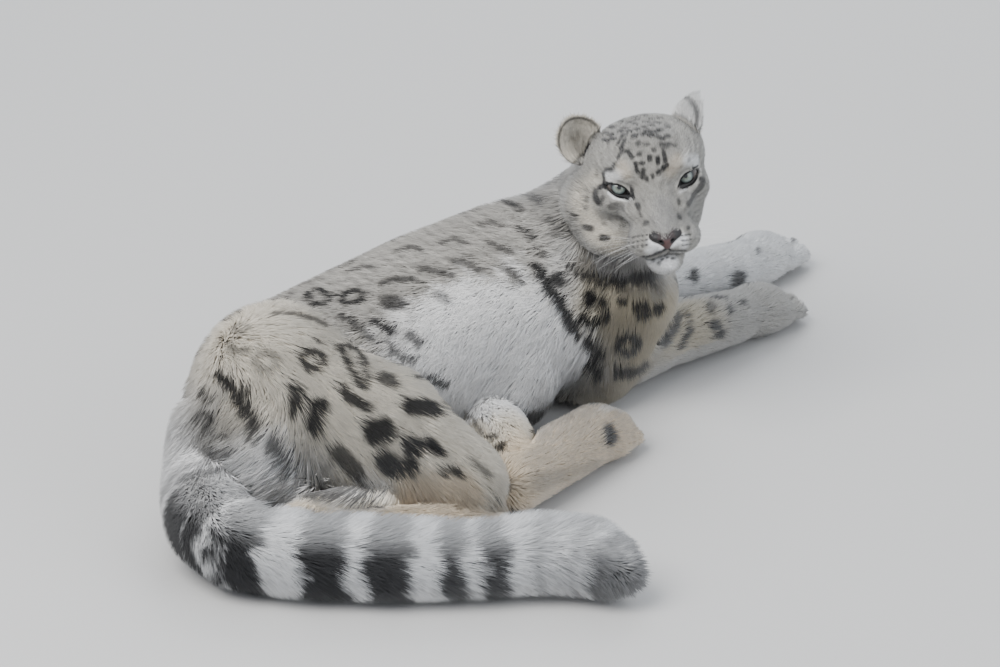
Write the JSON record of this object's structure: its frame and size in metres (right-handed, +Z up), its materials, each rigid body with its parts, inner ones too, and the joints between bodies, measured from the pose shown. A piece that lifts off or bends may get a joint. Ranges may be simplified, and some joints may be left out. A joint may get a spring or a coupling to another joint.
{
  "type": "snow leopard, life-size still model",
  "caption": "Snow leopard lying on its left hip, head raised and turned back over the shoulder, forelegs stretched out, thick tail curled round in front.",
  "frame": {"origin": "on the floor, under the middle of the box round the whole animal", "axes": "+Z up; +X from the rump towards the head, across the view of the animal's right side; +Y away from that viewer, the way the forelegs reach"},
  "size_m": [0.798, 1.0168, 0.3904],
  "materials": {
    "coat_back": "deep soft fur, smoky grey-cream with grey rosettes",
    "coat_belly": "long white fur",
    "coat_face": "short grey-white fur with small black spots",
    "coat_ear": "short fur, black rim",
    "coat_leg": "dense cream fur with black spots",
    "coat_foot": "short dense tan-cream fur",
    "coat_tail": "very thick long fur with dark bands",
    "eye": "wet, clear",
    "nose_leather": "bare pink-brown skin, damp",
    "claw": "horn",
    "whisker": "stiff white hair"
  },
  "bodies": {
    "root": {"eye_right": "eye", "eye_left": "eye", "nose": "nose_leather", "head": "coat_face", "ear_right": "coat_ear", "ear_left": "coat_ear", "thigh_right": "coat_leg", "upper_arm_right": "coat_leg", "upper_arm_left": "coat_leg", "thigh_left": "coat_leg", "shank_right": "coat_leg", "shank_left": "coat_leg", "hind_foot_left": "coat_foot", "hind_foot_right": "coat_foot", "forearm_right": "coat_leg", "forepaw_right": "coat_foot", "forearm_left": "coat_leg", "forepaw_left": "coat_foot", "neck": "coat_back", "hips": "coat_back", "loin": "coat_back", "chest": "coat_belly", "tail_1": "coat_tail", "tail_2": "coat_tail", "tail_3": "coat_tail", "tail_4": "coat_tail", "tail_5": "coat_tail"}
  },
  "joints": []
}
